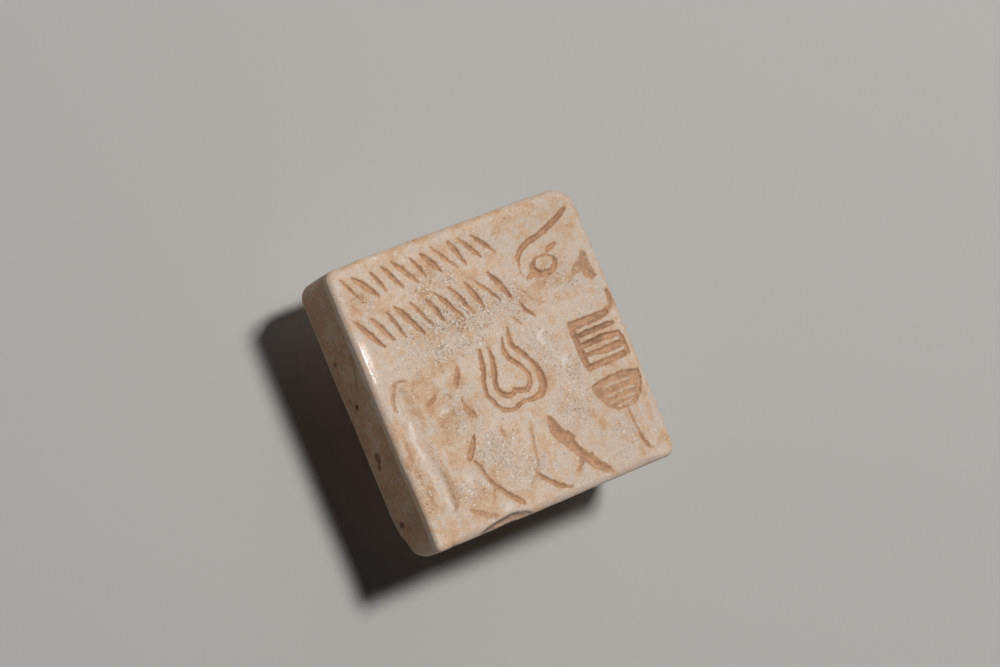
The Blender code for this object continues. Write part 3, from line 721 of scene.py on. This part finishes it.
# Pale places: those on the chest and in the trough are painted highlights, the rest paler worn
# stone.
pale_patches = [
    (2.4, 11.0, 0.36, 5.6, 1.1), (2.6, 6.2, 0.5, 2.4, 0.6), (3.5, 11.6, 0.5, 2.6, 0.5),
    (3.3, 4.4, 0.7, 1.4, 0.7), (20.0, 16.0, 0.8, 1.3, 1.3), (20.4, 14.6, 1.8, 2.6, 0.5),
    (20.4, 16.9, 0.5, 0.7, 1.4), (21.5, 12.6, 0.5, 0.6, 1.4), (21.6, 13.4, 0.6, 1.3, 1.2),
    (6.3, 29.3, 0.6, 0.4, 0.9), (8.9, 1.7, 1.0, 0.6, 0.8), (6.4, 6.0, 1.0, 1.2, 0.8),
    (8.2, 9.9, 1.1, 1.5, 0.45), (10.4, 9.0, 1.6, 1.8, 0.4), (25.6, 26.6, 2.2, 0.8, 0.4),
    (21.6, 18.4, 0.8, 0.5, 0.6), (26.4, 18.6, 1.6, 1.0, 0.3), (13.4, 15.2, 0.8, 1.6, 0.5),
    (6.4, 12.8, 0.8, 0.7, 0.7), (3.7, 6.2, 0.6, 1.3, 0.55), (11.2, 23.8, 0.9, 0.9, 0.6),
    (6.3, 24.2, 0.7, 0.9, 0.55), (4.2, 22.2, 1.0, 1.2, 0.4), (6.6, 23.4, 1.0, 1.6, 0.35),
]
face_x = spots[:, 0] + half_side
face_y = spots[:, 1] + half_side
wavy_x = face_x + 0.6 * uneven(spots, 1.1, 71) + 0.25 * uneven(spots, 0.4, 72)
wavy_y = face_y + 0.6 * uneven(spots, 1.1, 73) + 0.25 * uneven(spots, 0.4, 74)


def paint_patches(patches, spread, softness):
    shares = np.zeros(len(spots))
    for middle_x, middle_y, radius_x, radius_y, strength in patches:
        away = np.hypot((wavy_x - middle_x) / radius_x, (wavy_y - middle_y) / radius_y)
        shares = np.maximum(shares, strength * ease((1.0 - away / spread) / softness))
    return shares


facing_up = ease((spots[:, 2] - face_level + 1.3) / 0.5)
on_wall = (1.0 - facing_up) * ease((spots[:, 2] - boss_height) / 0.6)
underside = ease((boss_height + 0.4 - spots[:, 2]) / 0.6)

# Stain: a halo around the cuts, patches on the face, among them painted shade along the trough's
# right side, most of the walls and the back.
halo = np.exp(np.clip(edge, -9.0, 0.0) / 0.36) * (0.62 + 0.38 * uneven(spots, 1.0, 75))
stain = np.maximum(0.88 * halo, paint_patches(stain_and_shade_patches, 1.25, 1.0))
stain = np.maximum(stain, 0.30 * ease(0.2 + uneven(spots, 2.4, 78))) * facing_up
wall_stain = 0.85 + 0.45 * uneven(spots, 2.4, 76)
upper_back = np.hypot((spots[:, 1] - 12.2) / 4.6, (spots[:, 2] - 8.2) / 3.2)
wall_stain = np.maximum(wall_stain, 1.3 * ease(1.25 - upper_back))
wall_stain = np.maximum(wall_stain, np.maximum(1.3 * broken, 1.5 * crack))
stain = np.maximum(stain, on_wall * wall_stain)
stain = np.maximum(stain, underside * (0.45 + 0.30 * uneven(spots, 2.0, 77)))

# Soil: packed into the pits of the left wall, round the boss's neck and in its hole.
on_left_wall = on_wall * ease((-13.0 - spots[:, 0]) / 0.4)
pitted = broken * on_left_wall * ease((spots[:, 2] - boss_height - 0.7) / 0.3)
soil = np.maximum(soil, 0.9 * pitted * ease((face_level - 1.0 - spots[:, 2]) / 0.4))
near_neck = np.exp(-np.abs(np.hypot(spots[:, 0], spots[:, 1]) - boss_radius - 0.5) / 0.8)
in_hole = ease(1.7 - np.hypot(spots[:, 1], spots[:, 2] - hole_level))
soil = np.maximum(soil, underside * np.maximum(0.50 * near_neck, 0.8 * in_hole))

# Coarse grain, pale places, partly worn stone and partly painted highlights, and the gloss of
# rubbed rims.
coarse = np.maximum(0.10, paint_patches(coarse_patches, 1.3, 0.9) * facing_up)
coarse = np.maximum(coarse, np.maximum(0.5 * on_wall, 0.40 * underside))
pale = paint_patches(pale_patches, 1.3, 1.0) * facing_up
rim_gap = np.minimum(half_side - np.abs(spots[:, 0]), half_side - np.abs(spots[:, 1]))
rubbed_rim = 1.3 * ease((1.7 - face_x) / 0.8) * ease(1.8 - np.abs(face_y - 20.0) / 1.7)
polish = np.maximum(0.25 * ease((1.5 - rim_gap) / 1.0), rubbed_rim) * facing_up
polish = np.maximum(polish, 0.3 * (1.0 - facing_up)) * (1.0 - broken)

# Painted shade and grime: painted shade darkens the right of the face, the walls, the pits and the
# crack of the left wall and the rims of the cuts; a dark line is painted along the edge of the long
# flake, and the filled bars of the stand are darkened.
shade_and_grime = 0.13 * ease((face_x - 15.0) / 8.0) + 0.09 * ease((face_x + face_y - 40.0) / 12.0)
shade_and_grime *= (0.75 + 0.25 * uneven(spots, 3.0, 79)) * facing_up
# Painted shade on the walls, darker towards the face's lower edge.
low_wall = 0.14 * ease((-4.0 - spots[:, 1]) / 8.0)
shade_and_grime = np.maximum(shade_and_grime, on_wall * (0.30 + low_wall + 0.14 * uneven(spots, 1.6, 80)))
# Painted shade in the pits and the crack of the left wall.
shade_and_grime = np.maximum(shade_and_grime, np.maximum(0.55 * pitted, 0.65 * crack))
flake_places = [5.0, 6.2, 7.2, 8.2, 9.2, 10.0, 10.8, 11.8]
flake_rim = np.interp(face_x, flake_places, [0.1, 0.43, 0.64, 0.75, 0.88, 0.75, 0.50, 0.1])
along_flake = ease((face_x - flake_places[0]) / 0.8) * ease((11.9 - face_x) / 0.8)
flake_line = 1.4 * np.exp(-((face_y - flake_rim) / 0.15) ** 2) * along_flake
shade_and_grime = np.maximum(shade_and_grime, flake_line * facing_up)
stand_fill = paint_patches([
    (27.0, 14.8, 2.6, 1.9, 0.85), (23.8, 13.0, 0.7, 2.0, 0.50),
    (26.4, 13.8, 3.2, 0.8, 1.40), (26.0, 14.9, 3.0, 0.7, 1.10)], 1.0, 0.6)
shade_and_grime = np.maximum(shade_and_grime, 0.58 * stand_fill * ease((soil - 0.3) / 0.4))
# Painted shade along the rims of the cuts.
cut_rim = np.exp(-((edge - 0.02) / 0.08) ** 2) * ease(0.6 + uneven(spots, 1.1, 81))
shade_and_grime = np.maximum(shade_and_grime, 0.26 * cut_rim * ease(soil / 0.5) * facing_up)

marks = {"soil": soil, "stain": stain, "coarse": coarse, "pale": pale, "polish": polish,
         "broken": broken, "shade_and_grime": shade_and_grime}


# The stone itself: fired steatite, a pale grey cream with pinkish clouds, fine dark pits and a
# satin gloss. Orange-brown soil fills the cuts, rough and slightly granular at its edges.

stone = bpy.data.materials.new("fired_steatite")
stone.use_nodes = True
nodes = stone.node_tree.nodes
links = stone.node_tree.links
warm_cream = (0.672, 0.525, 0.418, 1.0)
grey_cream = (0.632, 0.511, 0.423, 1.0)
tan_cloud = (0.665, 0.485, 0.365, 1.0)
dull_cloud = (0.60, 0.468, 0.370, 1.0)
light_ochre = (0.650, 0.425, 0.258, 1.0)
deep_ochre = (0.545, 0.310, 0.175, 1.0)
pale_and_highlight = (0.790, 0.690, 0.600, 1.0)
orange_soil = (0.625, 0.352, 0.196, 1.0)
brown_soil = (0.425, 0.232, 0.134, 1.0)
red_soil = (0.50, 0.235, 0.135, 1.0)
broken_stone = (0.58, 0.345, 0.235, 1.0)
speck_brown = (0.420, 0.225, 0.140, 1.0)
dark_pit = (0.38, 0.210, 0.130, 1.0)
light_pit = (0.46, 0.245, 0.140, 1.0)
glint_colour = (0.88, 0.80, 0.71, 1.0)
skin = nodes["Principled BSDF"]
skin.inputs["IOR"].default_value = 1.5
skin.inputs["Specular IOR Level"].default_value = 0.45


def feed(socket, value):
    """Sets a socket, or links the node output that is given for it."""
    if isinstance(value, bpy.types.NodeSocket):
        links.new(value, socket)
    elif value is not None:
        socket.default_value = value


def compute(operation, first, second=None, third=None, clamp=False):
    node = nodes.new("ShaderNodeMath")
    node.operation = operation
    node.use_clamp = clamp
    for socket, value in zip(node.inputs, (first, second, third)):
        feed(socket, value)
    return node.outputs[0]


def lay_over(share, under, over, blend="MIX"):
    node = nodes.new("ShaderNodeMix")
    node.data_type = "RGBA"
    node.blend_type = blend
    feed(node.inputs[0], share)
    feed(node.inputs[6], under)
    feed(node.inputs[7], over)
    return node.outputs[2]


def between(value, low, high, start=0.0, end=1.0):
    node = nodes.new("ShaderNodeMapRange")
    node.interpolation_type = "SMOOTHSTEP"
    for given, name in (
            (value, "Value"), (low, "From Min"), (high, "From Max"), (start, "To Min"),
            (end, "To Max")):
        feed(node.inputs[name], given)
    return node.outputs["Result"]


def painted(name):
    node = nodes.new("ShaderNodeAttribute")
    node.attribute_name = name
    return node.outputs["Fac"]


def fray(share, noise, reach):
    """Makes the edges of a painted share ragged, by a noise around its middle value."""
    return compute("MULTIPLY_ADD", compute("SUBTRACT", noise, 0.5), reach, share)


def clouds(per_mm, detail, roughness, distortion=0.0):
    node = nodes.new("ShaderNodeTexNoise")
    feed(node.inputs["Vector"], in_mm)
    feed(node.inputs["Scale"], per_mm)
    feed(node.inputs["Detail"], detail)
    feed(node.inputs["Roughness"], roughness)
    feed(node.inputs["Distortion"], distortion)
    return node.outputs["Fac"]


def pits(per_mm, size, share_of_cells):
    """Small round pits, one in some of the cells of a scattered pattern."""
    node = nodes.new("ShaderNodeTexVoronoi")
    feed(node.inputs["Vector"], in_mm)
    feed(node.inputs["Scale"], per_mm)
    pick = nodes.new("ShaderNodeSeparateColor")
    links.new(node.outputs["Color"], pick.inputs["Color"])
    chosen = compute("LESS_THAN", pick.outputs["Red"], share_of_cells)
    width = compute("MULTIPLY_ADD", pick.outputs["Green"], size, 0.5 * size)
    hollow = between(node.outputs["Distance"], compute("MULTIPLY", width, 0.55), width, 1.0, 0.0)
    return compute("MULTIPLY", chosen, hollow)


place = nodes.new("ShaderNodeTexCoord")
to_mm = nodes.new("ShaderNodeMapping")
to_mm.inputs["Scale"].default_value = (1000.0, 1000.0, 1000.0)
links.new(place.outputs["Object"], to_mm.inputs["Vector"])
in_mm = to_mm.outputs["Vector"]

(soil_share, stain_and_shade_share, coarse_share, pale_share, polish_share, broken_share,
 shade_and_grime_share) = [painted(name) for name in marks]

broad = clouds(0.22, 4.0, 0.55, 0.4)
mottle = clouds(0.9, 5.0, 0.65)
ragged = clouds(2.0, 5.0, 0.68)
grain = clouds(5.0, 3.0, 0.70)
fine_grain = clouds(6.5, 2.0, 0.60)
grouped = between(clouds(0.8, 4.0, 0.65), 0.36, 0.62, 0.30, 1.0)
clustered = compute("MULTIPLY", coarse_share, grouped)
clustered = compute("MULTIPLY", clustered, between(pale_share, 0.1, 0.8, 1.0, 0.35))

# The clean stone.
colour = lay_over(between(broad, 0.38, 0.64), warm_cream, grey_cream)
colour = lay_over(between(mottle, 0.44, 0.68, 0.0, 0.7), colour, tan_cloud)
colour = lay_over(between(clouds(0.55, 4.0, 0.6), 0.48, 0.68, 0.0, 0.6), colour, dull_cloud)

# Stain in two tones with frayed edges, painted shade along the trough's right side among it, and
# pale places over it, partly worn stone and partly painted highlights.
stain_and_shade_edge = fray(stain_and_shade_share, clouds(0.9, 5.0, 0.62), 2.4)
stain_and_shade_edge = fray(stain_and_shade_edge, ragged, 1.35)
stain_and_shade_edge = fray(stain_and_shade_edge, grain, compute("MULTIPLY_ADD", clustered, 1.1, 0.25))
colour = lay_over(between(stain_and_shade_edge, 0.02, 0.70, 0.0, 0.95), colour, light_ochre)
colour = lay_over(between(stain_and_shade_edge, 0.52, 1.15, 0.0, 0.85), colour, deep_ochre)
pale_edge = fray(pale_share, ragged, 1.2)
colour = lay_over(between(pale_edge, 0.2, 0.9, 0.0, 0.8), colour, pale_and_highlight)

# Soil in the cuts, the broken places, and the painted shade and grime over all.
soil_edge = fray(soil_share, clouds(2.6, 5.0, 0.75), 0.9)
soil_edge = fray(soil_edge, grain, 0.4)
soil_mask = between(soil_edge, 0.06, 0.64)
soil_colour = lay_over(between(clouds(1.3, 4.0, 0.65), 0.38, 0.62), orange_soil, brown_soil)
soil_colour = lay_over(between(ragged, 0.50, 0.66, 0.0, 0.6), soil_colour, red_soil)
colour = lay_over(compute("MULTIPLY", soil_mask, 0.92), colour, soil_colour)
colour = lay_over(compute("MULTIPLY", broken_share, 0.75), colour, broken_stone)
colour = lay_over(1.0, colour, compute("MULTIPLY_ADD", shade_and_grime_share, -0.55, 1.0), "MULTIPLY")

# Fine grain, dark specks and pits, and a few painted glints, most of them where the stone is
# coarse.
grain_reach = compute("MULTIPLY_ADD", clustered, 0.17, 0.075)
dark_grain = compute("SUBTRACT", 1.0, grain_reach)
light_grain = compute("ADD", 1.0, grain_reach)
grain_tint = between(fine_grain, 0.34, 0.66, dark_grain, light_grain)
colour = lay_over(1.0, colour, grain_tint, "MULTIPLY")

speck_level = compute("MULTIPLY_ADD", clustered, 0.19, clouds(4.8, 2.0, 0.5, 1.2))
specks = between(speck_level, 0.69, 0.775)
pit_share = compute("MULTIPLY", clustered, compute("MULTIPLY_ADD", soil_mask, -0.2, 0.30))
small_pits = pits(3.4, 0.30, pit_share)
wide_pits = pits(1.9, 0.16, compute("MULTIPLY", pit_share, 0.6))
all_pits = compute("MAXIMUM", small_pits, wide_pits)
pit_colour = lay_over(between(mottle, 0.4, 0.6), dark_pit, light_pit)
speck_strength = compute("MULTIPLY_ADD", soil_mask, -0.40, 0.90)
colour = lay_over(compute("MULTIPLY", specks, speck_strength), colour, speck_brown)
colour = lay_over(compute("MULTIPLY", all_pits, 0.55), colour, pit_colour)
# Painted glints: bright specks where the stone is coarse and in the painted highlights, kept off
# the soil and the painted shade.
glint_level = compute("MULTIPLY_ADD", clustered, 0.20, clouds(3.8, 2.0, 0.55, 0.8))
glint_level = compute("ADD", glint_level, between(pale_share, 1.0, 1.4, 0.0, 0.12))
off_soil = compute("MULTIPLY_ADD", soil_mask, -0.7, 0.8)
off_shade_and_grime = compute("MULTIPLY_ADD", shade_and_grime_share, -1.8, 1.0, clamp=True)
painted_glints = compute("MULTIPLY", between(glint_level, 0.65, 0.76), off_soil)
painted_glints = compute("MULTIPLY", painted_glints, off_shade_and_grime)
colour = lay_over(painted_glints, colour, glint_colour)
links.new(colour, skin.inputs["Base Color"])

# Soil and pits are dull, rubbed rims are glossy.
roughness = compute("MULTIPLY_ADD", soil_mask, 0.22, 0.52)
roughness = compute("MULTIPLY_ADD", polish_share, -0.27, roughness)
roughness = compute("MULTIPLY_ADD", all_pits, 0.3, roughness)
roughness = compute("MULTIPLY_ADD", compute("SUBTRACT", grain, 0.5), 0.25, roughness, clamp=True)
links.new(roughness, skin.inputs["Roughness"])

# The finest relief: pits and specks go in, grain stands out.
relief = compute("MULTIPLY_ADD", specks, -0.25, compute("MULTIPLY", all_pits, -0.5))
relief = compute("MULTIPLY_ADD", grain, compute("MULTIPLY_ADD", clustered, 1.3, 0.35), relief)
relief = compute("MULTIPLY_ADD", ragged, compute("MULTIPLY_ADD", coarse_share, 1.4, 0.5), relief)
relief = compute("MULTIPLY_ADD", compute("MULTIPLY", fine_grain, soil_mask), 0.5, relief)
relief = compute("MULTIPLY_ADD", compute("MULTIPLY", grain, broken_share), 1.2, relief)
bump = nodes.new("ShaderNodeBump")
feed(bump.inputs["Strength"], compute("MULTIPLY_ADD", polish_share, -0.55, 0.9, clamp=True))
bump.inputs["Distance"].default_value = 0.00009
links.new(relief, bump.inputs["Height"])
links.new(bump.outputs["Normal"], skin.inputs["Normal"])


# The finished seal: one piece, brought to metres. It stands for the whole solid.

bmesh.ops.scale(seal, vec=(0.001, 0.001, 0.001), verts=seal.verts)
bmesh.ops.triangulate(seal, faces=[f for f in seal.faces if len(f.verts) > 4])
carved_seal = object_of("carved_seal", seal)
for name, values in marks.items():
    layer = carved_seal.data.attributes.new(name, "FLOAT", "POINT")
    layer.data.foreach_set("value", np.clip(values, 0.0, 1.5).astype(np.float32))
carved_seal.data.shade_smooth()
carved_seal.data.materials.append(stone)
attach(carved_seal, "root")
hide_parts("stamp_seal")


# The studio: a pale plain floor, a soft key light high on the picture's upper right and a weak
# even fill.

floor_mesh = bmesh.new()
bmesh.ops.create_grid(floor_mesh, x_segments=2, y_segments=2, size=1.5)
floor = object_of("floor", floor_mesh)
floor_paint = bpy.data.materials.new("pale_floor")
floor_paint.use_nodes = True
floor_skin = floor_paint.node_tree.nodes["Principled BSDF"]
floor_skin.inputs["Base Color"].default_value = (0.49, 0.48, 0.465, 1.0)
floor_skin.inputs["Roughness"].default_value = 0.8
floor.data.materials.append(floor_paint)


def soft_light(name, direction, distance, size, power, colour):
    light = bpy.data.lights.new(name, "AREA")
    light.shape = "SQUARE"
    light.size = size
    light.energy = power
    light.color = colour
    thing = bpy.data.objects.new(name, light)
    towards = Vector(direction).normalized()
    thing.location = towards * distance + Vector((0.0, 0.0, 0.0135))
    thing.rotation_euler = towards.to_track_quat("Z", "Y").to_euler()
    bpy.context.scene.collection.objects.link(thing)


soft_light("key", (0.26, 0.16, 0.95), 0.70, 0.12, 4.12, (1.0, 0.985, 0.96))
soft_light("fill", (0.55, 0.60, 0.58), 0.90, 0.60, 0.5, (1.0, 0.99, 0.98))

world = bpy.data.worlds.new("studio")
world.use_nodes = True
world.node_tree.nodes["Background"].inputs["Color"].default_value = (0.9, 0.93, 1.0, 1.0)
world.node_tree.nodes["Background"].inputs["Strength"].default_value = 0.024
bpy.context.scene.world = world
bpy.context.scene.view_settings.view_transform = "Standard"


# The camera looks down on the seal from its left, rolled so that the face stands tilted as in the
# picture.

camera = bpy.data.cameras.new("camera")
camera.lens = 122.4
camera.sensor_width = 36.0
camera.sensor_fit = "HORIZONTAL"
camera.clip_start = 0.01
camera.clip_end = 10.0
to_right = Vector((0.81188, -0.38377, 0.43996))
to_top = Vector((0.31491, 0.92243, 0.22350))
to_viewer = Vector((-0.49161, -0.04291, 0.86976))
viewpoint = bpy.data.objects.new("camera", camera)
viewpoint.matrix_world = (
    Matrix.Translation((-0.166963, -0.011667, 0.310365))
    @ Matrix((to_right, to_top, to_viewer)).transposed().to_4x4())
bpy.context.scene.collection.objects.link(viewpoint)
bpy.context.scene.camera = viewpoint
